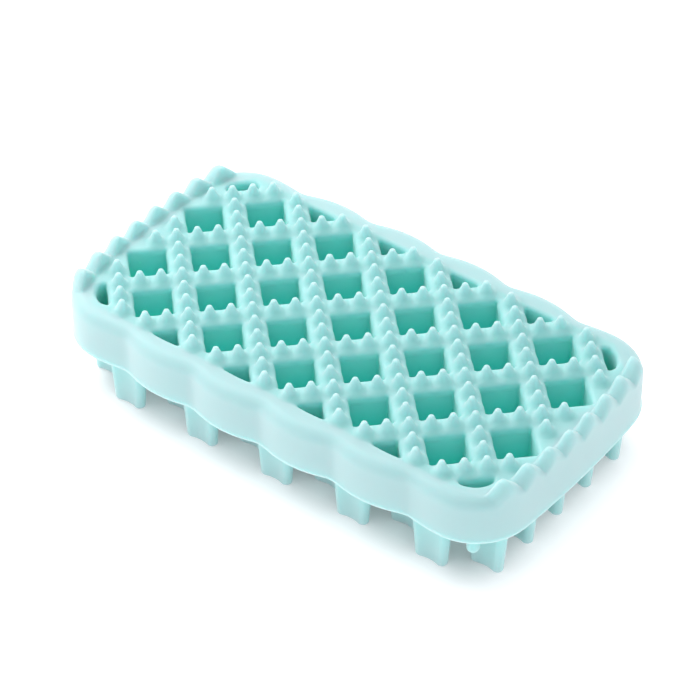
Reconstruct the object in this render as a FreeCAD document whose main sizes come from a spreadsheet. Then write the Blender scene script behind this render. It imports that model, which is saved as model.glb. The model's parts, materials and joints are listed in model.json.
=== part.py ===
import FreeCAD, Part
import math
import os

# Hand brush moulded from soft silicone: a scalloped rim round a lattice of spiked ribs,
# two end combs, a thin web under the pockets, and rows of waisted bristles below.
# Frame: +X along the brush, +Z up, origin on the table under the middle of the bristle tips.

Vector = FreeCAD.Vector
doc = FreeCAD.newDocument("silicone_brush")

# ---------------------------------------------------------------- driving dimensions
sheet = doc.addObject("Spreadsheet::Sheet", "Dimensions")

# Lengths are in millimetres and angles in degrees. A value named "..._share" is a share of
# the pocket pitch, so the whole plan follows that one length.
DRIVING = [
    ("pocket_pitch", 23.0),          # pocket to pocket along X, and twice the row offset
    ("rib_width_share", 0.262),      # a rib across its length
    ("inner_length_share", 2.685),   # middle to the rim's inner face, along X
    ("inner_width_share", 1.41),     # middle to the rim's inner face, along Y
    ("side_pocket_bow_share", 0.03), # how far a side pocket bows into the rim
    ("inner_corner_share", 3.685),   # |x| + |y| on the rim's inner corner face
    ("scallop_pitch_share", 0.955),  # notch to notch along a long side
    ("middle_notch_share", 1.648),  # distance of each notch and lobe from the long axis
    ("middle_lobe_share", 1.737),
    ("second_notch_share", 1.633),
    ("second_lobe_share", 1.708),
    ("corner_notch_share", 1.593),
    ("corner_lobe_share", 1.646),
    ("corner_centre_share", 2.36),   # corner arc's centre along X
    ("corner_radius_share", 0.659),
    ("end_bulge_share", 3.055),      # middle to the end wall, at its fullest
    ("notch_fillet", 4.5),
    ("web_bottom", 15.6),            # underside of the web and rim, where bristles start
    ("web_top", 18.4),               # floor of the pockets
    ("rib_top", 28.6),
    ("rim_crown", 29.0),
    ("rim_fillet", 3.2),
    ("rim_inner_edge", 28.3),        # height where the rim's inner slope begins
    ("rim_inner_slope", 45.0),
    ("rim_lip_chamfer", 0.6),
    ("spike_spacing_count", 3),      # spikes per rib pitch
    ("spike_base_radius", 2.0),
    ("spike_tip_radius", 0.9),
    ("spike_height", 3.7),
    ("spike_root_sink", 0.3),
    ("comb_tooth_count", 8),
    ("comb_pitch_share", 0.344),
    ("comb_seat", 27.6),             # underside of the comb, let into the rim
    ("comb_valley", 28.5),
    ("comb_ridge", 32.3),
    ("comb_ridge_width", 0.9),
    ("comb_foot_share", 2.895),      # middle to the teeth's inner faces, along X
    ("comb_corner_foot_share", 2.734), # the same at the ends of the comb
    ("comb_fillet", 1.3),
    ("slot_length", 9.0),
    ("slot_width", 3.1),
    ("slot_lean_share", 1.31),       # |x| - |y| at the middle of a corner slot
    ("slot_reach_share", 3.785),     # |x| + |y| there
    ("bristle_pitch_share", 1.045),  # along a row
    ("row_pitch_share", 0.275),      # row to row
    ("row_count", 11),
    ("lobe_offset_root", 3.95),
    ("lobe_radius_root", 1.85),
    ("waist_root", 1.25),
    ("lobe_offset_tip", 3.04),
    ("lobe_radius_tip", 1.5),
    ("waist_tip", 1.0),
    ("root_gap", 0.1),
    ("root_relief_angle", 14.0),
    ("peg_radius", 1.65),
    ("peg_length", 7.6),
    ("peg_x_share", 2.582),          # out near the corners, clear of the last bristles
    ("peg_y_share", 1.326),
]
for row, (alias, value) in enumerate(DRIVING, start=1):
    sheet.set(f"A{row}", alias)
    sheet.set(f"B{row}", str(value))
    sheet.setAlias(f"B{row}", alias)
doc.recompute()


def size(alias):
    """A driving dimension's value."""
    return float(sheet.get(alias))


def cell(alias):
    """The expression that names a driving dimension."""
    return f"Dimensions.{alias}"


PITCH = size("pocket_pitch")


def share(alias):
    """A dimension kept as a share of the pocket pitch, in millimetres."""
    return size(alias) * PITCH


RIB_PITCH = PITCH / math.sqrt(2)
RIB_WIDTH = share("rib_width_share")
HALF_OPENING = (RIB_PITCH - RIB_WIDTH) / 2
FINISHED = []


def finished(piece, label):
    """Marks an object as a sub-part that gets a file of its own."""
    piece.Label = label
    FINISHED.append(piece)
    return piece


# ---------------------------------------------------------------- shared geometry
def sketch(name, curves, height_alias=None):
    """A sketch parallel to the XY plane that holds these curves, at a bound height."""
    made = doc.addObject("Sketcher::SketchObject", name)
    made.addGeometry(curves, False)
    if height_alias:
        made.setExpression("Placement.Base.z", cell(height_alias))
    return made


def extrusion(name, base, length_expression, downward=False):
    """A solid extrusion of a sketch along Z, its length bound to an expression."""
    made = doc.addObject("Part::Extrusion", name)
    made.Base = base
    made.DirMode = "Custom"
    made.Dir = Vector(0, 0, -1 if downward else 1)
    made.Solid = True
    made.setExpression("LengthFwd", length_expression)
    return made


def polygon(points):
    """Line segments round a closed polygon of (x, y) points."""
    corners = [Vector(x, y, 0) for x, y in points]
    return [Part.LineSegment(a, b) for a, b in zip(corners, corners[1:] + corners[:1])]


def fuse(name, pieces):
    made = doc.addObject("Part::MultiFuse", name)
    made.Shapes = pieces
    return made


def cut(name, base, tool):
    made = doc.addObject("Part::Cut", name)
    made.Base = base
    made.Tool = tool
    return made


def clip(points, normal, limit):
    """The part of a convex polygon where the dot product with normal is at most limit."""
    kept = []
    for a, b in zip(points, points[1:] + points[:1]):
        side_a = normal[0] * a[0] + normal[1] * a[1] - limit
        side_b = normal[0] * b[0] + normal[1] * b[1] - limit
        if side_a <= 0:
            kept.append(a)
        if (side_a < 0 < side_b) or (side_b < 0 < side_a):
            part = side_a / (side_a - side_b)
            kept.append((a[0] + part * (b[0] - a[0]), a[1] + part * (b[1] - a[1])))
    return kept


INNER_X = share("inner_length_share")
INNER_Y = share("inner_width_share")
INNER_SUM = share("inner_corner_share")


EVERYWHERE = [(-200, -200), (200, -200), (200, 200), (-200, 200)]


def inside_rim(points):
    """A convex polygon clipped to the rim's eight-sided inner face."""
    for sx, sy in ((1, 0), (-1, 0)):
        points = clip(points, (sx, sy), INNER_X)
    for sx, sy in ((0, 1), (0, -1)):
        points = clip(points, (sx, sy), INNER_Y)
    for sx in (1, -1):
        for sy in (1, -1):
            points = clip(points, (sx, sy), INNER_SUM)
    return points


def lattice_point(along, across):
    """Plan position of a point given along the (1, 1) diagonal and across it."""
    step = 1 / math.sqrt(2)
    return ((along + across) * step, (along - across) * step)


def strip(along_low, along_high, across_low, across_high):
    """A rectangle whose sides follow the two diagonals."""
    ends = [
        (along_low, across_low),
        (along_high, across_low),
        (along_high, across_high),
        (along_low, across_high),
    ]
    return [lattice_point(a, c) for a, c in ends]


def area(points):
    """Plan area of a polygon."""
    pairs = zip(points, points[1:] + points[:1])
    return abs(sum(a[0] * b[1] - b[0] * a[1] for a, b in pairs)) / 2


# ---------------------------------------------------------------- rim band
def rim_outline():
    """Arcs of the scalloped outline, one quarter mirrored to the other three."""
    step = share("scallop_pitch_share")
    centre_x = share("corner_centre_share")
    radius = share("corner_radius_share")
    lobe_y = share("corner_lobe_share")
    centre_y = lobe_y - radius
    bulge = share("end_bulge_share")
    notches = [
        (0, share("middle_notch_share")),
        (step, share("second_notch_share")),
        (2 * step, share("corner_notch_share")),
    ]
    lobes = [
        (step / 2, share("middle_lobe_share")),
        (step * 1.5, share("second_lobe_share")),
    ]
    # The corner lobe's arc is level where it meets the corner arc.
    run = centre_x - notches[2][0]
    rise = lobe_y - notches[2][1]
    lobe_radius = (run**2 + rise**2) / (2 * rise)
    turn = math.asin(run / lobe_radius) / 2
    lobe_middle = (
        centre_x - lobe_radius * math.sin(turn),
        lobe_y - lobe_radius * (1 - math.cos(turn)),
    )
    # The end arc and the corner arc share a tangent where they meet.
    end_reach = bulge - centre_x
    end_radius = (end_reach**2 + centre_y**2 - radius**2) / (2 * (end_reach - radius))
    end_x = bulge - end_radius
    lean = math.atan2(centre_y, centre_x - end_x)
    meeting = (centre_x + radius * math.cos(lean), centre_y + radius * math.sin(lean))
    half = (lean + math.pi / 2) / 2
    corner_middle = (
        centre_x + radius * math.cos(half),
        centre_y + radius * math.sin(half),
    )
    quarter = [
        (notches[0], lobes[0], notches[1]),
        (notches[1], lobes[1], notches[2]),
        (notches[2], lobe_middle, (centre_x, lobe_y)),
        ((centre_x, lobe_y), corner_middle, meeting),
    ]
    arcs = []
    for sx, sy in ((1, 1), (1, -1), (-1, -1), (-1, 1)):
        for ends in quarter:
            arcs.append(Part.Arc(*[Vector(sx * x, sy * y, 0) for x, y in ends]))
    for sx in (1, -1):
        top = Vector(sx * meeting[0], meeting[1], 0)
        low = Vector(sx * meeting[0], -meeting[1], 0)
        arcs.append(Part.Arc(top, Vector(sx * bulge, 0, 0), low))
    return arcs, notches


def edges_where(shape, wanted):
    """Numbers of the edges for which wanted(edge) is true, as fillets name them."""
    return [i for i, edge in enumerate(shape.Edges, start=1) if wanted(edge)]


def flat_at(edge, height):
    box = edge.BoundBox
    return abs(box.ZMin - height) < 1e-4 and abs(box.ZMax - height) < 1e-4


def rounded_block(name, bottom_alias, top_alias, fillet_alias):
    """The scalloped outline as a block, its notches softened and its top edge rounded."""
    arcs, notches = rim_outline()
    base = sketch(name + "_outline", arcs, bottom_alias)
    block = extrusion(name + "_block", base, f"{cell(top_alias)} - {cell(bottom_alias)}")
    doc.recompute()
    notch_x = [x for x, _ in notches]

    def at_notch(edge):
        box = edge.BoundBox
        upright = box.ZLength > 1 and box.XLength < 1e-4 and box.YLength < 1e-4
        return upright and any(abs(abs(box.XMin) - x) < 1e-3 for x in notch_x)

    soft = doc.addObject("Part::Fillet", name + "_notches")
    soft.Base = block
    radius = size("notch_fillet")
    soft.Edges = [(i, radius, radius) for i in edges_where(block.Shape, at_notch)]
    doc.recompute()
    rounded = doc.addObject("Part::Fillet", name + "_shoulder")
    rounded.Base = soft
    radius = size(fillet_alias)
    top = edges_where(soft.Shape, lambda e: flat_at(e, size(top_alias)))
    rounded.Edges = [(i, radius, radius) for i in top]
    doc.recompute()
    return rounded


def well(name, curves, bottom_alias="web_top"):
    """A cutting prism from a bound height up past the rim's crown."""
    base = sketch(name + "_outline", curves, bottom_alias)
    return extrusion(name, base, f"{cell('rim_crown')} - {cell(bottom_alias)} + 1")


def build_rim():
    """The outer wall, open in the middle, with a sloping inner edge and seats for the combs."""
    crowned = rounded_block("rim", "web_bottom", "rim_crown", "rim_fillet")
    lipped = doc.addObject("Part::Chamfer", "rim_lip")
    lipped.Base = crowned
    depth = size("rim_lip_chamfer")
    low = edges_where(crowned.Shape, lambda e: flat_at(e, size("web_bottom")))
    lipped.Edges = [(i, depth, depth) for i in low]

    inner = polygon(inside_rim(EVERYWHERE))
    through = sketch("rim_well_outline", inner, "web_bottom")
    tools = [extrusion("rim_well", through, f"{cell('rim_crown')} - {cell('web_bottom')} + 1")]
    slope = well("rim_inner_slope", inner, "rim_inner_edge")
    slope.setExpression("TaperAngle", cell("rim_inner_slope"))
    tools.append(slope)
    tools += end_pockets() + side_pockets() + corner_slots()
    for sx in (1, -1):
        tools.append(comb_zone(f"comb_seat_{'right' if sx > 0 else 'left'}", sx))
    return cut("rim_band", lipped, fuse("rim_openings", tools))


def end_pockets():
    """The four pockets that bite into the end walls."""
    made = []
    reach = HALF_OPENING * math.sqrt(2)
    for sx in (1, -1):
        for sy in (1, -1):
            x, y = sx * 2.5 * PITCH, sy * 0.5 * PITCH
            points = [(x - reach, y), (x, y - reach), (x + reach, y), (x, y + reach)]
            made.append(well(f"end_pocket_{len(made) + 1}", polygon(points)))
    return made


def side_pockets():
    """The bowed outer edges of the eight pockets that the long sides cut short."""
    made = []
    bow = share("side_pocket_bow_share")
    half = HALF_OPENING * math.sqrt(2) - (1.5 * PITCH - INNER_Y)
    for sx in (1.5, 0.5, -0.5, -1.5):
        for sy in (1, -1):
            a = Vector(sx * PITCH - half, sy * INNER_Y, 0)
            b = Vector(sx * PITCH + half, sy * INNER_Y, 0)
            middle = Vector(sx * PITCH, sy * (INNER_Y + bow), 0)
            curves = [Part.Arc(a, middle, b), Part.LineSegment(b, a)]
            made.append(well(f"side_pocket_{len(made) + 1}", curves))
    return made


def corner_slots():
    """Four short slots, one behind the last rib at each corner: straight inside, bowed outside."""
    made = []
    reach = share("slot_reach_share") / math.sqrt(2)
    lean = share("slot_lean_share") / math.sqrt(2)
    half = size("slot_length") / 2
    width = size("slot_width")
    low = reach - width / 2
    sunk = 0.5  # the inner side runs into the well, so that no thin wall is left
    for sx in (1, -1):
        for sy in (1, -1):
            out = Vector(sx, sy, 0).normalize()
            along = Vector(sx, -sy, 0).normalize()

            def spot(side, depth):
                return along * (lean + side) + out * (low + depth)

            curves = [
                Part.LineSegment(spot(-0.8 * half, 0), spot(-0.8 * half, -sunk)),
                Part.LineSegment(spot(-0.8 * half, -sunk), spot(0.8 * half, -sunk)),
                Part.LineSegment(spot(0.8 * half, -sunk), spot(0.8 * half, 0)),
                Part.Arc(spot(0.8 * half, 0), spot(half, 0.25 * width), spot(0.88 * half, 0.6 * width)),
                Part.Arc(spot(0.88 * half, 0.6 * width), spot(0, width), spot(-0.88 * half, 0.6 * width)),
                Part.Arc(spot(-0.88 * half, 0.6 * width), spot(-half, 0.25 * width), spot(-0.8 * half, 0)),
            ]
            made.append(well(f"corner_slot_{len(made) + 1}", curves))
    return made


# ---------------------------------------------------------------- web under the pockets
def build_web():
    """The thin floor that closes the pockets, inside the rim's inner face."""
    base = sketch("pocket_web_outline", polygon(inside_rim(EVERYWHERE)), "web_bottom")
    return extrusion("pocket_web", base, f"{cell('web_top')} - {cell('web_bottom')}")


# ---------------------------------------------------------------- ribs and their spikes
def spike(name, x, y):
    """One blunt cone on a rib, sunk a little into it."""
    made = doc.addObject("Part::Cone", name)
    made.setExpression("Radius1", cell("spike_base_radius"))
    made.setExpression("Radius2", cell("spike_tip_radius"))
    made.setExpression("Height", f"{cell('spike_height')} + {cell('spike_root_sink')}")
    made.Placement.Base = Vector(x, y, 0)
    made.setExpression("Placement.Base.z", f"{cell('rib_top')} - {cell('spike_root_sink')}")
    return made


def clear_of_rim(x, y):
    """True where a spike's foot stays inside the rim's inner face."""
    margin = size("spike_base_radius") * 0.55
    return (
        abs(x) < INNER_X - margin
        and abs(y) < INNER_Y - margin
        and abs(x) + abs(y) < INNER_SUM - margin * math.sqrt(2)
    )


def build_rib(name, line, crossing):
    """One rib line. A crossing rib is whole; the other kind is cut where it meets them."""
    middle = (line + 0.5) * RIB_PITCH
    half = RIB_WIDTH / 2
    if crossing:
        lengths = [(-200, 200)]
    else:
        lengths = []
        for step in range(-6, 6):
            low = (step + 0.5) * RIB_PITCH + half
            lengths.append((low, low + RIB_PITCH - RIB_WIDTH))
    curves = []
    for low, high in lengths:
        if crossing:
            points = strip(low, high, middle - half, middle + half)
        else:
            points = strip(middle - half, middle + half, low, high)
        points = inside_rim(points)
        if len(points) > 2 and area(points) > 1:
            curves += polygon(points)
    base = sketch(name + "_outline", curves, "web_top")
    bar = extrusion(name + "_bar", base, f"{cell('rib_top')} - {cell('web_top')}")

    per_pitch = int(size("spike_spacing_count"))
    spikes = []
    for step in range(-8 * per_pitch, 8 * per_pitch + 1):
        at_crossing = step % per_pitch == 0
        if at_crossing and not crossing:
            continue
        along = (step / per_pitch + 0.5) * RIB_PITCH
        x, y = lattice_point(along, middle) if crossing else lattice_point(middle, along)
        if clear_of_rim(x, y):
            spikes.append(spike(f"{name}_spike_{len(spikes) + 1}", x, y))
    return fuse(name, [bar] + spikes)


# ---------------------------------------------------------------- end combs
def comb_zone(name, side):
    """The space over one end of the rim, from the combs' seat up, bowed like the end wall."""
    half = size("comb_tooth_count") * share("comb_pitch_share") / 2
    low = Vector(side * share("comb_corner_foot_share"), -half, 0)
    middle = Vector(side * share("comb_foot_share"), 0, 0)
    high = Vector(low.x, half, 0)
    far_low = Vector(side * 80, -half, 0)
    far_high = Vector(side * 80, half, 0)
    curves = [
        Part.Arc(low, middle, high),
        Part.LineSegment(high, far_high),
        Part.LineSegment(far_high, far_low),
        Part.LineSegment(far_low, low),
    ]
    return extrusion(name, sketch(name + "_outline", curves, "comb_seat"), "20")


def build_comb(name, side):
    """A row of ridged teeth along one end, rounded over like the wall below them."""
    count = int(size("comb_tooth_count"))
    pitch = share("comb_pitch_share")
    seat = size("comb_seat")
    valley = size("comb_valley")
    ridge = size("comb_ridge")
    half_flat = size("comb_ridge_width") / 2
    profile = [(-count * pitch / 2, seat), (-count * pitch / 2, valley)]
    for index in range(count):
        middle = (index - (count - 1) / 2) * pitch
        profile.append((middle - half_flat, ridge))
        profile.append((middle + half_flat, ridge))
        profile.append((middle + pitch / 2, valley))
    profile.append((count * pitch / 2, seat))
    outline = doc.addObject("Sketcher::SketchObject", name + "_teeth_outline")
    outline.addGeometry(polygon(profile), False)
    outline.Placement = FreeCAD.Placement(Vector(0, 0, 0), FreeCAD.Rotation(Vector(1, 1, 1), 120))
    teeth = doc.addObject("Part::Extrusion", name + "_teeth")
    teeth.Base = outline
    teeth.DirMode = "Custom"
    teeth.Dir = Vector(side, 0, 0)
    teeth.LengthFwd = 90
    teeth.Solid = True

    block = rounded_block(name, "comb_seat", "comb_ridge", "comb_fillet")
    made = doc.addObject("Part::MultiCommon", name)
    made.Shapes = [block, teeth, comb_zone(name + "_zone", side)]
    return made


# ---------------------------------------------------------------- bristles
def waisted_section(offset, radius, waist):
    """A round lobe at each end of the X axis, joined by flanks that are hollow in the middle."""
    hollow = (offset**2 + waist**2 - radius**2) / (2 * (radius - waist))
    curves = []
    for side in (1, -1):
        lobe = Vector(side * offset, 0, 0)
        above = Vector(0, side * (waist + hollow), 0)
        below = -above
        start = lobe + (below - lobe).normalize() * radius
        end = lobe + (above - lobe).normalize() * radius
        far_start = -lobe + (above + lobe).normalize() * radius
        curves.append(Part.Arc(start, Vector(side * (offset + radius), 0, 0), end))
        curves.append(Part.Arc(end, Vector(0, side * waist, 0), far_start))
    return curves


def build_row(name, index):
    """One row of bristles, lofted from root to tip, its roots relieved to lean both ways."""
    y = index * share("row_pitch_share")
    pitch = share("bristle_pitch_share")
    count = 5 if index % 2 else 6
    bristles = []
    for step in range(count):
        x = (step - (count - 1) / 2) * pitch
        ends = []
        for level, height in (("tip", None), ("root", f"{cell('web_bottom')} - {cell('root_gap')}")):
            curves = waisted_section(
                size(f"lobe_offset_{level}"),
                size(f"lobe_radius_{level}"),
                size(f"waist_{level}"),
            )
            outline = sketch(f"{name}_{step + 1}_{level}", curves)
            outline.Placement.Base = Vector(x, y, 0)
            if height:
                outline.setExpression("Placement.Base.z", height)
            ends.append(outline)
        loft = doc.addObject("Part::Loft", f"{name}_{step + 1}")
        loft.Sections = ends
        loft.Solid = True
        loft.Ruled = True
        bristles.append(loft)
    group = doc.addObject("Part::Compound", name + "_bristles")
    group.Links = bristles

    # Two wedges above the row's hinge line, so that a root leans without meeting the web.
    reach = 8.0
    rise = reach * math.tan(math.radians(size("root_relief_angle")))
    wedge = doc.addObject("Sketcher::SketchObject", name + "_relief_outline")
    corners = [(0, 0), (reach, -rise), (reach, 2), (-reach, 2), (-reach, -rise)]
    wedge.addGeometry(polygon(corners), False)
    wedge.Placement = FreeCAD.Placement(
        Vector(-80, y, 0),
        FreeCAD.Rotation(Vector(1, 1, 1), 120),
    )
    wedge.setExpression("Placement.Base.z", f"{cell('web_bottom')} - {cell('root_gap')}")
    relief = doc.addObject("Part::Extrusion", name + "_relief")
    relief.Base = wedge
    relief.DirMode = "Custom"
    relief.Dir = Vector(1, 0, 0)
    relief.LengthFwd = 160
    relief.Solid = True
    return cut(name, group, relief)


# ---------------------------------------------------------------- corner pegs
def build_pegs():
    """Four short round-ended pegs under the corners."""
    pegs = []
    for sx in (1, -1):
        for sy in (1, -1):
            name = f"corner_peg_{len(pegs) + 1}"
            stem = doc.addObject("Part::Cylinder", name + "_stem")
            stem.setExpression("Radius", cell("peg_radius"))
            stem.setExpression("Height", f"{cell('peg_length')} - {cell('peg_radius')}")
            x = sx * share("peg_x_share")
            y = sy * share("peg_y_share")
            stem.Placement.Base = Vector(x, y, 0)
            bottom = f"{cell('web_bottom')} - {cell('peg_length')} + {cell('peg_radius')}"
            stem.setExpression("Placement.Base.z", bottom)
            ball = doc.addObject("Part::Sphere", name + "_end")
            ball.setExpression("Radius", cell("peg_radius"))
            ball.Placement.Base = Vector(x, y, 0)
            ball.setExpression("Placement.Base.z", bottom)
            pegs.append(fuse(name, [stem, ball]))
    made = doc.addObject("Part::Compound", "corner_pegs")
    made.Links = pegs
    return made


# ---------------------------------------------------------------- build every sub-part
finished(build_rim(), "rim_band")
finished(build_web(), "pocket_web")
for line in range(-4, 4):
    finished(build_rib(f"rib_long_{line + 5}", line, crossing=True), f"rib_long_{line + 5}")
for line in range(-4, 4):
    finished(build_rib(f"rib_short_{line + 5}", line, crossing=False), f"rib_short_{line + 5}")
finished(build_comb("end_comb_right", 1), "end_comb_right")
finished(build_comb("end_comb_left", -1), "end_comb_left")
half_rows = int(size("row_count")) // 2
for index in range(-half_rows, half_rows + 1):
    name = f"bristle_row_{index + half_rows + 1}"
    finished(build_row(name, index), name)
finished(build_pegs(), "corner_pegs")
doc.recompute()

# ---------------------------------------------------------------- check and write
for item in doc.Objects:
    if "Invalid" in item.State or "Error" in item.State:
        raise RuntimeError(f"{item.Name} failed: {item.State}")
for piece in FINISHED:
    if piece.Shape.isNull() or not piece.Shape.isValid():
        raise RuntimeError(f"{piece.Label} has no valid shape")
    if not piece.Shape.Solids:
        raise RuntimeError(f"{piece.Label} holds no solid")

os.makedirs("parts", exist_ok=True)
for piece in FINISHED:
    piece.Shape.exportStep(os.path.join("parts", piece.Label + ".step"))
    print(piece.Label, len(piece.Shape.Solids), round(piece.Shape.Volume, 1))
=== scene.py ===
"""A palm-sized scrubbing brush moulded in one soft silicone piece: a scalloped rim round a diagonal
lattice of spiked ribs, ridged ends, and rows of waisted bristles under the body."""

import json
import math

import bpy
import numpy as np
from mathutils import Matrix, Vector

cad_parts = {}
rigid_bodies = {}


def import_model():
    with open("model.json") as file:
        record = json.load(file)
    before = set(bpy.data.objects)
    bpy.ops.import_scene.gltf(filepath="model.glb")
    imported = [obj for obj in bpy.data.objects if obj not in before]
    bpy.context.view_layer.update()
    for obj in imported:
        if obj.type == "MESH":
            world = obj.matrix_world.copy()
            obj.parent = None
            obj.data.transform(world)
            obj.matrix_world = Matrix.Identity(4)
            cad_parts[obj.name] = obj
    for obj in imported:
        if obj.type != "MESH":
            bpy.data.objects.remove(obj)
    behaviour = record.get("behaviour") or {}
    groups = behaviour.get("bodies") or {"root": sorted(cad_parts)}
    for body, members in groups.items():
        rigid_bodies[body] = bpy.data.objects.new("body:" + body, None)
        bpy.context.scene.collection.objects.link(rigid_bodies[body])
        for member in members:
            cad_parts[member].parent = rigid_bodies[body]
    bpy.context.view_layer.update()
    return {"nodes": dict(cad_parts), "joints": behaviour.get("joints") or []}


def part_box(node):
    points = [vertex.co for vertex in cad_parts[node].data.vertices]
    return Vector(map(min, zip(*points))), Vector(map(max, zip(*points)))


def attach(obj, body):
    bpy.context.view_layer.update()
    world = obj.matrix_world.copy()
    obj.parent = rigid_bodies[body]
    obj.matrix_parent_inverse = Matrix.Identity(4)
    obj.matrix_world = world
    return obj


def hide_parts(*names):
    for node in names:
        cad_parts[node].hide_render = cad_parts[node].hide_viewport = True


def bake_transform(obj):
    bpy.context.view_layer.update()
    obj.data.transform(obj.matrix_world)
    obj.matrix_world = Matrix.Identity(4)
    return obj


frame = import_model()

MM = 0.001
ROWS = sorted(
    (n for n in frame["nodes"] if n.startswith("bristle_row_")), key=lambda n: int(n.split("_")[-1])
)
STATIC = sorted(n for n in frame["nodes"] if n not in ROWS)
ROW_BODY = {j["name"].replace("_lean", ""): j["child"] for j in frame["joints"]}
HINGE = {j["child"]: Vector(j["pos_m"]) for j in frame["joints"]}
ROOT = frame["joints"][0]["parent"]


def box_mm(node):
    low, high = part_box(node)
    return np.array(low) / MM, np.array(high) / MM


# ------------------------------------------------------------------ sizes, in millimetres
ROW_STEP = (HINGE[ROW_BODY[ROWS[-1]]].y - HINGE[ROW_BODY[ROWS[0]]].y) / MM / (len(ROWS) - 1)
PITCH = ROW_STEP / 0.275  # pocket to pocket
LOW_Z = box_mm("pocket_web")[0][2]
FLOOR_Z = box_mm("pocket_web")[1][2]
CREST_Z = LOW_Z + 13.0  # top of the ribs, between the spikes
CROWN_Z = box_mm("rim_band")[1][2] - 0.05
TIP_Z = box_mm("rib_long_4")[1][2]
RIDGE_Z = box_mm("end_comb_right")[1][2]
RIB_PITCH = PITCH / math.sqrt(2)
HALF_OPENING = 5.12  # half the width of a pocket
TOOTH_PITCH = 0.344 * PITCH
COMB_FOOT = 2.895 * PITCH  # middle to the teeth's inner faces, along X
COMB_CORNER_FOOT = 2.734 * PITCH
RIM = box_mm("rim_band")

# Where the lattice ends, as shares of the pitch: long sides, ends, and corners (on |x| + |y|).
SIDE_SHARE, SIDE_BOW_SHARE = 1.385, 0.03
END_SHARE = 2.685
CORNER_SHARE = 3.685
SLOT_LEAN_SHARE = 1.31  # |x| - |y| at the middle of a corner slot

SPIKE_TIP_R, SPIKE_FOOT_R = 0.95, 2.1
RIM_ROUND, RIM_ROUND_LOSS = 3.4, 0.8  # radius of the rim's shoulder, and how much less it is at a comb
LIP_DEPTH = 0.25
WALL_SET_BACK = 0.1  # so that the lip, and not the wall, is the widest line
PEG_R = 1.65
DECIMATE_RATIO = 0.25


# ------------------------------------------------------------------ distance-field helpers
def round_max(a, b, r):
    """Intersection of two fields with an edge of radius r."""
    u = np.maximum(r + a, 0)
    v = np.maximum(r + b, 0)
    return np.minimum(-r, np.maximum(a, b)) + np.sqrt(u * u + v * v)


def round_min(a, b, r):
    """Union of two fields with a fillet of radius r."""
    return -round_max(-a, -b, r)


def ramp(t):
    """Smooth step from 0 to 1 as t goes from 0 to 1."""
    t = np.clip(t, 0, 1)
    return t * t * (3 - 2 * t)


def arc(a, b, c, count):
    """Points along the arc from a through b to c, without c."""
    ax, ay = a
    bx, by = b
    cx, cy = c
    d = 2 * (ax * (by - cy) + bx * (cy - ay) + cx * (ay - by))
    ux = ((ax**2 + ay**2) * (by - cy) + (bx**2 + by**2) * (cy - ay) + (cx**2 + cy**2) * (ay - by)) / d
    uy = ((ax**2 + ay**2) * (cx - bx) + (bx**2 + by**2) * (ax - cx) + (cx**2 + cy**2) * (bx - ax)) / d
    r = math.hypot(ax - ux, ay - uy)
    t0 = math.atan2(ay - uy, ax - ux)
    t1 = math.atan2(by - uy, bx - ux)
    t2 = math.atan2(cy - uy, cx - ux)
    whole = (t2 - t0 + math.pi) % (2 * math.pi) - math.pi
    part = (t1 - t0 + math.pi) % (2 * math.pi) - math.pi
    if part * whole < 0:
        whole -= math.copysign(2 * math.pi, whole)
    return [(ux + r * math.cos(t0 + whole * i / count), uy + r * math.sin(t0 + whole * i / count))
            for i in range(count)]


OUTLINE = {
    "step": 0.955, "notches": (1.648, 1.633, 1.593), "lobes": (1.737, 1.708, 1.646),
    "corner_x": 2.36, "corner_r": 0.659, "end": 3.055,
}


def outline_points():
    """The scalloped outline, closed, with its notches softened."""
    o = {k: np.array(v) * PITCH for k, v in OUTLINE.items()}
    step = float(o["step"])
    cx, cr, end = float(o["corner_x"]), float(o["corner_r"]), float(o["end"])
    notches = [(i * step, float(y)) for i, y in enumerate(o["notches"])]
    lobes = [((i + 0.5) * step, float(y)) for i, y in enumerate(o["lobes"][:2])]
    top = float(o["lobes"][2])
    cy = top - cr
    run, rise = cx - notches[2][0], top - notches[2][1]
    lr = (run**2 + rise**2) / (2 * rise)
    turn = math.asin(run / lr) / 2
    lobe_mid = (cx - lr * math.sin(turn), top - lr * (1 - math.cos(turn)))
    reach = end - cx
    er = (reach**2 + cy**2 - cr**2) / (2 * (reach - cr))
    lean = math.atan2(cy, cx - (end - er))
    meet = (cx + cr * math.cos(lean), cy + cr * math.sin(lean))
    half = (lean + math.pi / 2) / 2
    corner_mid = (cx + cr * math.cos(half), cy + cr * math.sin(half))
    quarter = arc(notches[0], lobes[0], notches[1], 40) + arc(notches[1], lobes[1], notches[2], 40)
    quarter += arc(notches[2], lobe_mid, (cx, top), 16) + arc((cx, top), corner_mid, meet, 40)
    quarter += arc(meet, (end, 0), (meet[0], -meet[1]), 60)[:30] + [(end, 0)]
    q = np.array(quarter)
    whole = np.vstack([q, (q * [1, -1])[::-1][1:], (q * [-1, -1])[1:], (q * [-1, 1])[::-1][1:-1]])
    # Even spacing, then a short moving average that rounds the notches.
    closed = np.vstack([whole, whole[:1]])
    s = np.r_[0, np.cumsum(np.hypot(*np.diff(closed, axis=0).T))]
    n = 1600
    even = np.c_[np.interp(np.linspace(0, s[-1], n, endpoint=False), s, closed[:, 0]),
                 np.interp(np.linspace(0, s[-1], n, endpoint=False), s, closed[:, 1])]
    width = 1.6 / (s[-1] / n)
    k = np.exp(-0.5 * (np.arange(-40, 41) / width) ** 2)
    k /= k.sum()
    padded = np.vstack([even[-40:], even, even[:40]])
    soft = np.c_[np.convolve(padded[:, 0], k, "valid"), np.convolve(padded[:, 1], k, "valid")]
    return soft[::4]


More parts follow.
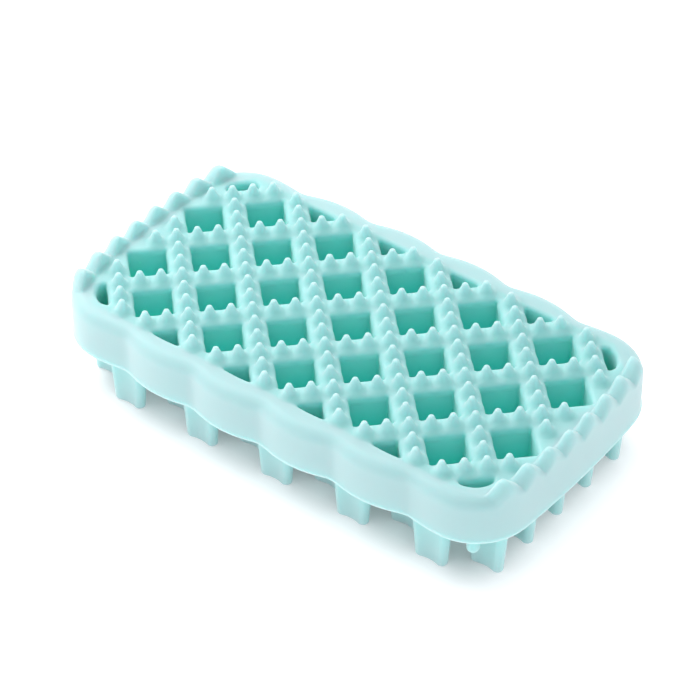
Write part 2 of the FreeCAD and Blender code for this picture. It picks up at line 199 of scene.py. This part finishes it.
def polygon_distance(points, x, y):
    """Signed distance to a closed polygon, negative inside."""
    best = np.full(x.shape, 1e9, np.float32)
    inside = np.zeros(x.shape, bool)
    for (ax, ay), (bx, by) in zip(points, np.roll(points, -1, axis=0)):
        ex, ey = bx - ax, by - ay
        wx, wy = x - ax, y - ay
        t = np.clip((wx * ex + wy * ey) / (ex * ex + ey * ey), 0, 1)
        best = np.minimum(best, (wx - ex * t) ** 2 + (wy - ey * t) ** 2)
        crosses = (ay > y) != (by > y)
        if by != ay:
            inside ^= crosses & (x < ex * (y - ay) / ey + ax)
    d = np.sqrt(best)
    return np.where(inside, -d, d).astype(np.float32)


def body_field(x, y, z):
    """Signed distance field of the still part of the moulding. x and y are 2-D, z is 1-D."""
    p = PITCH
    rp = RIB_PITCH
    out2 = polygon_distance(outline_points(), x, y)
    u, v = (x + y) / math.sqrt(2), (x - y) / math.sqrt(2)

    side_y = p * (SIDE_SHARE + SIDE_BOW_SHARE * (0.5 - 0.5 * np.cos(2 * np.pi * x / p)))
    d_side = np.abs(y) - side_y
    d_end = np.abs(x) - END_SHARE * p
    d_corner = (np.abs(x) + np.abs(y) - CORNER_SHARE * p) / math.sqrt(2)
    d_in = round_max(round_max(d_side, d_end, 3.0), d_corner, 3.0)

    # Pockets: rounded squares on the lattice, cut short by the long sides.
    i, j = np.round(u / rp), np.round(v / rp)
    cx, cy = (i + j) * p / 2, (i - j) * p / 2
    real = (np.abs(cx) < 2.6 * p) & (np.abs(cy) < 1.6 * p) & (np.abs(cx) + np.abs(cy) < 3.2 * p)
    soft = 0.8
    du, dv = np.abs(u - i * rp) - HALF_OPENING + soft, np.abs(v - j * rp) - HALF_OPENING + soft
    square = np.hypot(np.maximum(du, 0), np.maximum(dv, 0)) + np.minimum(np.maximum(du, dv), 0) - soft
    pocket = round_max(square, np.where(np.abs(cy) > 1.4 * p, d_side, -50), 1.3)
    pocket = np.where(real, pocket, 50)

    # Corner slots: straight on the inside, bowed on the outside.
    a = (np.abs(x) - np.abs(y)) / math.sqrt(2) - SLOT_LEAN_SHARE * p / math.sqrt(2)
    b = (np.abs(x) + np.abs(y)) / math.sqrt(2) - CORNER_SHARE * p / math.sqrt(2)
    bow = np.hypot(a, b + 3.6) - 6.7
    slot = round_max(round_max(-b, bow, 0.9), np.abs(a) - 4.55, 1.2)
    holes = np.minimum(pocket, slot)

    # Spikes: the nearest foot on either family of ribs.
    foot = np.full(x.shape, 99.0)
    for s, t in ((u, v), (v, u)):
        line = (np.round(s / rp - 0.5) + 0.5) * rp
        along = (np.round((t / rp - 0.5) * 3) / 3 + 0.5) * rp
        su, sv = (line, along) if s is u else (along, line)
        sx, sy = (su + sv) / math.sqrt(2), (su - sv) / math.sqrt(2)
        there = (np.abs(sx) < 2.71 * p) & (np.abs(sy) < 1.37 * p) & (np.abs(sx) + np.abs(sy) < 3.56 * p)
        foot = np.minimum(foot, np.where(there, np.hypot(s - line, t - along), 99))

    # Crown height of the rim, level with the ribs where the combs stand.
    half_comb = 4 * TOOTH_PITCH
    at_comb = ramp((np.abs(x) - 2.45 * p) / (0.2 * p)) * ramp((half_comb + 1.5 - np.abs(y)) / 3.0)
    crown = CREST_Z + (CROWN_Z - CREST_Z) * ramp(d_in / 4.5) * (1 - at_comb)

    # Teeth: ridges across each end, with upright inner faces that follow the end wall.
    tooth_index = np.clip(np.floor(np.abs(y) / TOOTH_PITCH), 0, 3) + 0.5
    off = np.sqrt((np.abs(y) - tooth_index * TOOTH_PITCH) ** 2 + 0.16)
    tooth = np.minimum(RIDGE_Z + 0.25 - (off - 0.4) * 0.98, RIDGE_Z)
    bow = COMB_FOOT - (COMB_FOOT - COMB_CORNER_FOOT) * (y / half_comb) ** 2

    x3, y3 = x[:, :, None], y[:, :, None]
    z3 = z[None, None, :]
    lip = LIP_DEPTH * ramp(1 - (np.abs(z3 - LOW_Z - 0.55) - 0.15) / 0.35)
    wall = out2[:, :, None] + WALL_SET_BACK - lip
    inner_face = bow[:, :, None] - np.abs(x3) + (z3 - CREST_Z) * 0.15
    comb_end = np.abs(y3) - half_comb
    teeth = round_max((z3 - tooth[:, :, None]) * 0.71, round_max(inner_face, comb_end, 0.6), 0.8)
    field = round_min(z3 - crown[:, :, None], teeth, 0.8)
    field = round_max(field, wall, (RIM_ROUND - RIM_ROUND_LOSS * at_comb)[:, :, None])

    cut = round_max(holes[:, :, None] + 0.02 * (CREST_Z - z3), FLOOR_Z - z3, 0.8)
    field = round_max(field, -cut, 1.05)

    # A spike is a cone from a wide foot to a small round tip.
    tip_c = TIP_Z - SPIKE_TIP_R
    height = tip_c - CREST_Z
    tan = (SPIKE_FOOT_R - SPIKE_TIP_R) / height
    cos = 1 / math.sqrt(1 + tan * tan)
    rho = foot[:, :, None]
    cone = (rho - SPIKE_FOOT_R + (z3 - CREST_Z) * tan) * cos
    ball = np.sqrt(rho**2 + (z3 - tip_c) ** 2) - SPIKE_TIP_R
    spikes = np.where(z3 > tip_c + rho * tan, ball, cone)
    spikes = np.maximum(spikes, CREST_Z - 1.5 - z3)
    field = round_min(field, spikes, 1.1)

    return round_max(field, LOW_Z - z3, 0.45)


def surface_net(f, origin, step):
    """Vertices and quads of the zero surface of a sampled field."""
    inside = f < 0
    shape = np.array(f.shape) - 1
    total = np.zeros((*shape, 3), np.float32)
    count = np.zeros(shape, np.float32)
    base = [slice(0, n) for n in shape]
    for axis in range(3):
        others = [a for a in range(3) if a != axis]
        for da in (0, 1):
            for db in (0, 1):
                lo = list(base)
                for a, d in zip(others, (da, db)):
                    lo[a] = slice(d, d + shape[a])
                hi = list(lo)
                hi[axis] = slice(1, 1 + shape[axis])
                fa, fb = f[tuple(lo)], f[tuple(hi)]
                hit = (fa < 0) != (fb < 0)
                t = np.where(hit, fa / np.where(hit, fa - fb, 1), 0)
                count += hit
                total[..., axis] += t * hit
                total[..., others[0]] += da * hit
                total[..., others[1]] += db * hit
    live = count > 0
    index = np.full(shape, -1, np.int64)
    index[live] = np.arange(live.sum())
    where = np.argwhere(live)
    verts = (where + total[live] / count[live][:, None]) * step + origin
    quads = []
    for axis in range(3):
        lo = [slice(None)] * 3
        hi = [slice(None)] * 3
        lo[axis], hi[axis] = slice(0, -1), slice(1, None)
        a, b = inside[tuple(lo)], inside[tuple(hi)]
        edge = np.argwhere(a != b)
        o1, o2 = (axis + 1) % 3, (axis + 2) % 3
        ok = (edge[:, o1] > 0) & (edge[:, o2] > 0)
        ok &= (edge[:, o1] < shape[o1]) & (edge[:, o2] < shape[o2])
        edge = edge[ok]
        corners = []
        for d1, d2 in ((1, 1), (0, 1), (0, 0), (1, 0)):
            c = edge.copy()
            c[:, o1] -= d1
            c[:, o2] -= d2
            corners.append(index[c[:, 0], c[:, 1], c[:, 2]])
        quad = np.stack(corners, axis=1)
        starts_inside = inside[edge[:, 0], edge[:, 1], edge[:, 2]]
        quad[~starts_inside] = quad[~starts_inside][:, ::-1]
        quads.append(quad)
    return verts, np.vstack(quads)


def mesh_object(name, verts_mm, faces):
    """A smooth-shaded mesh object from millimetre coordinates."""
    mesh = bpy.data.meshes.new(name)
    verts = np.asarray(verts_mm, np.float32) * MM
    if isinstance(faces, np.ndarray):
        faces = np.ascontiguousarray(faces, np.int32)
        mesh.vertices.add(len(verts))
        mesh.vertices.foreach_set("co", verts.ravel())
        mesh.loops.add(faces.size)
        mesh.loops.foreach_set("vertex_index", faces.ravel())
        mesh.polygons.add(len(faces))
        starts = np.arange(0, faces.size, faces.shape[1], dtype=np.int32)
        mesh.polygons.foreach_set("loop_start", starts)
        mesh.update(calc_edges=True)
        mesh.validate()
    else:
        mesh.from_pydata([tuple(v) for v in verts], [], faces)
    mesh.shade_smooth()
    made = bpy.data.objects.new(name, mesh)
    bpy.context.scene.collection.objects.link(made)
    return made


def applied(obj, **modifier):
    """obj with one modifier applied."""
    kind = modifier.pop("kind")
    m = obj.modifiers.new(kind.lower(), kind)
    for key, value in modifier.items():
        setattr(m, key, value)
    dg = bpy.context.evaluated_depsgraph_get()
    mesh = bpy.data.meshes.new_from_object(obj.evaluated_get(dg), depsgraph=dg)
    obj.modifiers.clear()
    old = obj.data
    obj.data = mesh
    bpy.data.meshes.remove(old)
    mesh.shade_smooth()
    return obj


def build_body():
    """The rim, lattice, spikes, combs and web as one continuous skin."""
    step = 0.28
    nx = int(math.ceil((RIM[1][0] + 1) / step)) + 1
    ny = int(math.ceil((RIM[1][1] + 1) / step)) + 1
    z = np.arange(LOW_Z - 1.01, RIDGE_Z + 1.0, step)
    x, y = np.meshgrid(np.arange(nx) * step, np.arange(ny) * step, indexing="ij")
    quarter = body_field(x, y, z).astype(np.float32)
    half = np.concatenate([quarter[:0:-1], quarter], axis=0)
    whole = np.concatenate([half[:, :0:-1], half], axis=1)
    origin = np.array([-(nx - 1) * step, -(ny - 1) * step, z[0]])
    verts, quads = surface_net(whole, origin, step)
    return mesh_object("moulded_body", verts, quads)


# ------------------------------------------------------------------ bristles and pegs
def waisted_section(offset, radius, waist, around):
    """A round lobe at each end of the X axis, joined by hollow flanks, as evenly spaced points."""
    hollow = (offset**2 + waist**2 - radius**2) / (2 * (radius - waist))
    points = []
    for side in (1, -1):
        lobe = np.array([side * offset, 0.0])
        above = np.array([0.0, side * (waist + hollow)])

        def toward(a, b):
            d = b - a
            return a + d / np.hypot(*d) * radius

        start, end, far = toward(lobe, -above), toward(lobe, above), toward(-lobe, above)
        points += arc(start, (side * (offset + radius), 0), end, 32)
        points += arc(end, (0, side * waist), far, 32)
    points = np.array(points)
    closed = np.vstack([points, points[:1]])
    s = np.r_[0, np.cumsum(np.hypot(*np.diff(closed, axis=0).T))]
    at = np.linspace(0, s[-1], around, endpoint=False)
    return np.c_[np.interp(at, s, closed[:, 0]), np.interp(at, s, closed[:, 1])]


ROOT_SECTION = (3.95, 1.85, 1.25)  # lobe offset, lobe radius, half the waist
TIP_SECTION = (3.04, 1.5, 1.0)
LOBE_REACH = ROOT_SECTION[0] + ROOT_SECTION[1]


def inset(section, depth):
    """The section moved inwards by a depth, along its own normals."""
    tangent = np.roll(section, -1, axis=0) - np.roll(section, 1, axis=0)
    normal = np.c_[tangent[:, 1], -tangent[:, 0]] / np.hypot(*tangent.T)[:, None]
    return section - normal * depth


def bristle_mesh(centre, around=72):
    """One tapered, waisted bristle with a flared root and a softly rounded tip."""
    root = waisted_section(*ROOT_SECTION, around)
    tip = waisted_section(*TIP_SECTION, around)
    length = LOW_Z
    edge = 0.55
    levels = []
    for k in range(7):
        angle = k / 6 * math.pi / 2
        levels.append((edge * (1 - math.cos(angle)), edge * (1 - math.sin(angle))))
    for h in np.linspace(edge, length - 1.6, 22)[1:]:
        levels.append((h, 0.0))
    for k in range(1, 7):
        angle = k / 6 * math.pi / 2
        levels.append((length - 1.6 + 1.6 * math.sin(angle), -1.1 * (1 - math.cos(angle))))
    levels.append((length + 0.6, -1.1))
    verts, faces = [], []
    for h, depth in levels:
        share = min(h / length, 1)
        section = inset(tip + (root - tip) * share, depth)
        verts.append(np.c_[section + centre, np.full(around, h)])
    flat = inset(tip, edge)
    for k in (0.66, 0.33):
        verts.insert(0, np.c_[flat * k + centre, np.zeros(around)])
    verts.insert(0, np.array([[centre[0], centre[1], 0.0]]))
    for i in range(around):
        faces.append((0, 1 + (i + 1) % around, 1 + i))
    for r in range(len(verts) - 2):
        a, b = 1 + r * around, 1 + (r + 1) * around
        for i in range(around):
            k = (i + 1) % around
            faces.append((a + i, a + k, b + k, b + i))
    top = 1 + (len(verts) - 2) * around
    faces.append(tuple(top + i for i in range(around)))
    return np.vstack(verts), faces


def join(parts):
    """Several (verts, faces) as one."""
    verts, faces, n = [], [], 0
    for v, f in parts:
        verts.append(v)
        faces += [tuple(i + n for i in face) for face in f]
        n += len(v)
    return np.vstack(verts), faces


def build_row(row):
    """The bristles of one row, at the middles of that row's solids."""
    low, high = box_mm(row)
    body = ROW_BODY[row]
    y = HINGE[body].y / MM
    count = 5 if int(row.split("_")[-1]) % 2 == 1 else 6
    first, last = low[0] + LOBE_REACH, high[0] - LOBE_REACH
    parts = [bristle_mesh((x, y)) for x in np.linspace(first, last, count)]
    return mesh_object(row.replace("bristle_row", "bristles"), *join(parts))


def peg_mesh(centre, radius, low, high):
    """A short round-ended peg with a flared root, turned about its axis."""
    profile = []
    for k in range(9):
        angle = k / 8 * math.pi / 2
        profile.append((radius * math.sin(angle), low + radius * (1 - math.cos(angle))))
    profile += [(radius, h) for h in np.linspace(low + radius, high - 1.0, 8)[1:]]
    for k in range(1, 6):
        angle = k / 5 * math.pi / 2
        profile.append((radius + 0.9 * (1 - math.cos(angle)), high - 1.0 + math.sin(angle)))
    profile.append((radius + 0.9, high + 0.6))
    around = 40
    verts, faces = [(centre[0], centre[1], low)], []
    for r, h in profile[1:]:
        for i in range(around):
            t = 2 * math.pi * i / around
            verts.append((centre[0] + r * math.cos(t), centre[1] + r * math.sin(t), h))
    for i in range(around):
        faces.append((0, 1 + (i + 1) % around, 1 + i))
    rings = len(profile) - 1
    for q in range(rings - 1):
        a, b = 1 + q * around, 1 + (q + 1) * around
        for i in range(around):
            k = (i + 1) % around
            faces.append((a + i, a + k, b + k, b + i))
    faces.append(tuple(1 + (rings - 1) * around + i for i in range(around)))
    return np.array(verts, float), faces


def build_pegs():
    low, high = box_mm("corner_pegs")
    low_x, low_y = low[:2] + PEG_R
    high_x, high_y = high[:2] - PEG_R
    spots = [(x, y) for x in (low_x, high_x) for y in (low_y, high_y)]
    parts = [peg_mesh(spot, PEG_R, low[2], LOW_Z) for spot in spots]
    return mesh_object("corner_peg_set", *join(parts))


# ------------------------------------------------------------------ materials
def set_painted_shade(obj, shade):
    """Stores each vertex's painted shade in the 'depth' attribute: 0 in the open, 1 at the bottom of a
    pocket.
    """
    mesh = obj.data
    co = np.empty(len(mesh.vertices) * 3, np.float32)
    mesh.vertices.foreach_get("co", co)
    x, y, z = co.reshape(-1, 3).T / MM
    layer = mesh.attributes.new("depth", "FLOAT", "POINT")
    layer.data.foreach_set("value", np.clip(shade(x, y, z), 0, 1).astype(np.float32))


def body_painted_shade(x, y, z):
    # Painted shade, only inside the rim: full in the pockets and on the underside, partial in the
    # valleys between the spikes.
    indoors = ramp((1.47 * PITCH - np.abs(y)) / 1.5) * ramp((2.9 * PITCH - np.abs(x)) / 3.0)
    indoors = indoors * ramp((3.95 * PITCH - np.abs(x) - np.abs(y)) / 1.5)
    pocket = np.clip((CREST_Z - 0.4 - z) / (CREST_Z - FLOOR_Z - 2), 0, 1) ** 0.7
    between = 0.28 * ramp((TIP_Z - 0.8 - z) / 4.0)
    return indoors * np.where(z < FLOOR_Z - 0.5, 1.0, between + (0.92 - between) * pocket)


def bristle_painted_shade(x, y, z):
    # Painted shade: the bristles and pegs turn deeper towards the root, under the body.
    return 0.28 * np.clip(z / LOW_Z, 0, 1)


def silicone(name, open_colour, painted_shade_colour, scatter):
    """Satin silicone: light scattered under the skin, a soft sheen, a fine moulded grain, and painted
    shade that deepens the colour in hollows and under the body.
    """
    m = bpy.data.materials.new(name)
    m.use_nodes = True
    nt = m.node_tree
    b = nt.nodes["Principled BSDF"]
    coord = nt.nodes.new("ShaderNodeTexCoord")

    def noise(scale, detail):
        n = nt.nodes.new("ShaderNodeTexNoise")
        n.inputs["Scale"].default_value = scale
        n.inputs["Detail"].default_value = detail
        nt.links.new(coord.outputs["Object"], n.inputs["Vector"])
        return n

    # Broad, faint unevenness of the pigment.
    cloud = noise(28, 3)
    tint = nt.nodes.new("ShaderNodeValToRGB")
    tint.color_ramp.elements[0].position = 0.3
    tint.color_ramp.elements[0].color = (*[c * 0.97 for c in open_colour], 1)
    tint.color_ramp.elements[1].position = 0.7
    tint.color_ramp.elements[1].color = (*open_colour, 1)
    nt.links.new(cloud.outputs["Fac"], tint.inputs["Fac"])

    # Painted shade: the 'depth' attribute turns the colour from the open colour to a deeper, more
    # saturated one in pockets, hollows and under the body.
    depth = nt.nodes.new("ShaderNodeAttribute")
    depth.attribute_name = "depth"
    colour = nt.nodes.new("ShaderNodeMix")
    colour.data_type = "RGBA"
    nt.links.new(depth.outputs["Fac"], colour.inputs["Factor"])
    nt.links.new(tint.outputs["Color"], colour.inputs[6])
    colour.inputs[7].default_value = (*painted_shade_colour, 1)
    nt.links.new(colour.outputs[2], b.inputs["Base Color"])

    # Handling leaves the gloss a little patchy.
    patch = noise(90, 4)
    gloss = nt.nodes.new("ShaderNodeMapRange")
    gloss.inputs["From Min"].default_value = 0.3
    gloss.inputs["From Max"].default_value = 0.7
    gloss.inputs["To Min"].default_value = 0.5
    gloss.inputs["To Max"].default_value = 0.6
    nt.links.new(patch.outputs["Fac"], gloss.inputs["Value"])
    nt.links.new(gloss.outputs["Result"], b.inputs["Roughness"])

    grain = noise(2600, 2)
    bump = nt.nodes.new("ShaderNodeBump")
    bump.inputs["Strength"].default_value = 0.12
    bump.inputs["Distance"].default_value = 0.0001
    nt.links.new(grain.outputs["Fac"], bump.inputs["Height"])
    nt.links.new(bump.outputs["Normal"], b.inputs["Normal"])

    b.inputs["Subsurface Weight"].default_value = 1.0
    b.inputs["Subsurface Radius"].default_value = scatter
    b.inputs["Subsurface Scale"].default_value = 0.005
    b.inputs["Sheen Weight"].default_value = 0.35
    b.inputs["Sheen Roughness"].default_value = 0.6
    b.inputs["Specular IOR Level"].default_value = 0.5
    b.inputs["IOR"].default_value = 1.41
    return m


# ------------------------------------------------------------------ stage
# The floor's glow drops near the brush's footprint: a painted shadow.
FOOTPRINT_HALF = (0.055, 0.025)
PAINTED_SHADOW_WIDTH = 0.018
GLOW_IN_PAINTED_SHADOW, GLOW_OUTSIDE = 0.13, 0.62
CAMERA_AT = (0.354016, -0.460763, 0.49574)  # the height is above the web's underside
CAMERA_RIGHT = (0.794737, 0.606933, -0.005004)
CAMERA_UP = (-0.388697, 0.515269, 0.763815)
FOCAL_LENGTH = 154.8


def area_light(name, at, aim, size, watts, colour=(1, 1, 1)):
    data = bpy.data.lights.new(name, "AREA")
    data.shape = "DISK"
    data.size = size
    data.energy = watts
    data.color = colour
    lamp = bpy.data.objects.new(name, data)
    lamp.location = at
    lamp.rotation_euler = (Vector(aim) - Vector(at)).to_track_quat("-Z", "Y").to_euler()
    bpy.context.scene.collection.objects.link(lamp)


def set_floor():
    """A pale table that glows evenly white, with the glow dimmed near the brush as a painted shadow."""
    reach = 3000
    corners = [(-reach, -reach, 0), (reach, -reach, 0), (reach, reach, 0), (-reach, reach, 0)]
    floor = mesh_object("floor", np.array(corners, float), [(0, 1, 2, 3)])
    m = bpy.data.materials.new("white_table")
    m.use_nodes = True
    b = m.node_tree.nodes["Principled BSDF"]
    b.inputs["Base Color"].default_value = (0.74, 0.74, 0.74, 1)
    b.inputs["Emission Color"].default_value = (1.0, 0.98, 1.0, 1)
    b.inputs["Roughness"].default_value = 0.8
    b.inputs["Specular IOR Level"].default_value = 0.1

    # How far a point is from the brush's footprint, in metres.
    nt = m.node_tree
    coord = nt.nodes.new("ShaderNodeTexCoord")
    axes = nt.nodes.new("ShaderNodeSeparateXYZ")
    nt.links.new(coord.outputs["Object"], axes.inputs["Vector"])

    def compute(operation, a, b=None):
        node = nt.nodes.new("ShaderNodeMath")
        node.operation = operation
        for socket, value in zip(node.inputs, (a, b)):
            if isinstance(value, float):
                socket.default_value = value
            elif value is not None:
                nt.links.new(value, socket)
        return node.outputs[0]

    past = [compute("MAXIMUM", compute("SUBTRACT", compute("ABSOLUTE", axes.outputs[axis]), half), 0.0)
            for axis, half in (("X", FOOTPRINT_HALF[0]), ("Y", FOOTPRINT_HALF[1]))]
    away = compute("SQRT", compute("ADD", compute("MULTIPLY", past[0], past[0]),
                                   compute("MULTIPLY", past[1], past[1])))
    # Painted shadow: the glow is low over the footprint and rises to full a short way out.
    glow = nt.nodes.new("ShaderNodeMapRange")
    glow.interpolation_type = "SMOOTHSTEP"
    glow.inputs["From Min"].default_value = 0.0
    glow.inputs["From Max"].default_value = PAINTED_SHADOW_WIDTH
    glow.inputs["To Min"].default_value = GLOW_IN_PAINTED_SHADOW
    glow.inputs["To Max"].default_value = GLOW_OUTSIDE
    nt.links.new(away, glow.inputs["Value"])
    nt.links.new(glow.outputs["Result"], b.inputs["Emission Strength"])
    floor.data.materials.append(m)


def set_light():
    """An even white surround and one soft box high on the left."""
    world = bpy.data.worlds.new("studio")
    world.use_nodes = True
    back = world.node_tree.nodes["Background"]
    back.inputs["Color"].default_value = (0.94, 0.965, 1.0, 1)
    back.inputs["Strength"].default_value = 0.78
    bpy.context.scene.world = world
    area_light("softbox", (-0.4, 0.03, 0.46), (0, 0, 0.02), 0.5, 2.6)
    bpy.context.scene.view_settings.view_transform = "Standard"


def set_camera():
    """The brush seen from above its front right corner, in focus throughout."""
    cam_data = bpy.data.cameras.new("camera")
    cam_data.sensor_width = 36
    cam_data.lens = FOCAL_LENGTH
    cam_data.clip_start = 0.01
    cam = bpy.data.objects.new("camera", cam_data)
    right, up = Vector(CAMERA_RIGHT), Vector(CAMERA_UP)
    turn = Matrix((right, up, right.cross(up))).transposed().to_4x4()
    cam.matrix_world = Matrix.Translation(Vector(CAMERA_AT) + Vector((0, 0, LOW_Z * MM))) @ turn
    bpy.context.scene.collection.objects.link(cam)
    bpy.context.scene.camera = cam


# ------------------------------------------------------------------ build
# PALE is the silicone's own colour in the open; the second colour is the painted shade for pockets,
# hollows and undersides.
PALE, PAINTED_SHADE_TINT, SCATTER = (0.455, 0.68, 0.685), (0.1, 0.81, 0.73), (0.6, 1.0, 0.93)
body_look = silicone("mint_silicone", PALE, PAINTED_SHADE_TINT, SCATTER)
bristle_look = silicone("mint_bristle_silicone", PALE, PAINTED_SHADE_TINT, SCATTER)

skin = build_body()
applied(skin, kind="DECIMATE", ratio=DECIMATE_RATIO)
skin.data.materials.append(body_look)
set_painted_shade(skin, body_painted_shade)
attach(skin, ROOT)
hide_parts(*[n for n in STATIC if n != "corner_pegs"])

pegs = build_pegs()
pegs.data.materials.append(bristle_look)
set_painted_shade(pegs, bristle_painted_shade)
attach(pegs, ROOT)
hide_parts("corner_pegs")

for row in ROWS:
    bristles = build_row(row)
    bristles.data.materials.append(bristle_look)
    set_painted_shade(bristles, bristle_painted_shade)
    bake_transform(bristles)
    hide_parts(row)

set_floor()
set_light()
set_camera()
